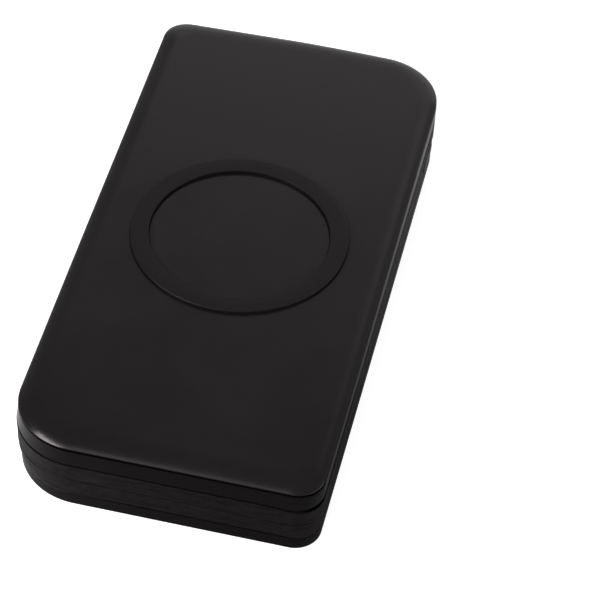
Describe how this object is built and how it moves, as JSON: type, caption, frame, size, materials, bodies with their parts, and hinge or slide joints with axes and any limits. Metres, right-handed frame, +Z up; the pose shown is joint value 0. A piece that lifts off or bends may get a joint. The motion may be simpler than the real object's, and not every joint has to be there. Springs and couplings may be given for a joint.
{
  "type": "wireless power bank",
  "caption": "Flat matte black power bank slab with a raised non-slip ring on its wireless charging face, stacked side bands, sockets and indicator dots in one end and a small side button.",
  "frame": {"origin": "middle of the underside, on the surface that the slab lies on", "axes": "+Z up through the charging face, +Y along the length towards the end with the sockets, +X towards the wall with the button"},
  "size_m": [0.0674, 0.1376, 0.0195],
  "materials": {
    "shell_black": "fine matte soft-touch black",
    "band_black": "matte black with fine lines along the band",
    "silicone_black": "matt non-slip silicone",
    "button_black": "satin black",
    "steel": "plated sheet",
    "insert_black": "moulded connector plastic",
    "contact_gold": "plated contact",
    "clear_guide": "milky clear moulding",
    "cell_foil": "laminated pouch foil",
    "nickel": "nickel strip",
    "board_green": "solder mask",
    "chip_black": "moulded package",
    "inductor_grey": "pressed powder",
    "ceramic_tan": "capacitor body",
    "can_aluminium": "capacitor can",
    "led_white": "diode package",
    "copper": "enamelled copper",
    "ferrite": "sintered sheet",
    "carrier_white": "moulded tray",
    "foam_grey": "closed-cell foam",
    "tape_white": "double-sided tape",
    "lead_red": "insulation",
    "lead_black": "insulation",
    "screw_steel": "zinc plated"
  },
  "bodies": {
    "housing": {"top_cover": "shell_black", "grip_ring": "silicone_black", "upper_frame": "shell_black", "middle_frame": "band_black", "bottom_cover": "shell_black", "frame_screws": "screw_steel", "battery_cell_lower": "cell_foil", "battery_cell_upper": "cell_foil", "protection_board": "board_green", "cell_tabs": "nickel", "adhesive_pad_lower": "tape_white", "adhesive_pad_middle": "tape_white", "foam_pad": "foam_grey", "battery_lead_red": "lead_red", "battery_lead_black": "lead_black", "charging_coil": "copper", "ferrite_sheet": "ferrite", "coil_carrier": "carrier_white", "coil_leads": "copper", "thermistor": "chip_black", "main_board": "board_green", "board_screws": "screw_steel", "usb_a_shell": "steel", "usb_a_insert": "insert_black", "usb_a_contacts": "contact_gold", "usb_c_shell": "steel", "usb_c_tongue": "insert_black", "led_chips": "led_white", "light_guide": "clear_guide", "tact_switch": "chip_black", "charger_chip": "chip_black", "transmitter_chip": "chip_black", "power_inductors": "inductor_grey", "mosfets": "chip_black", "tank_capacitors": "ceramic_tan", "bulk_capacitors": "can_aluminium"},
    "button": {"power_button": "button_black", "switch_stem": "carrier_white"}
  },
  "joints": [
    {"name": "button_press", "type": "slide", "parent": "housing", "child": "button", "axis": [-1, 0, 0], "range_m": [0, 0.0004], "stiffness_N_per_m": 2000, "springref_m": -0.0003}
  ]
}
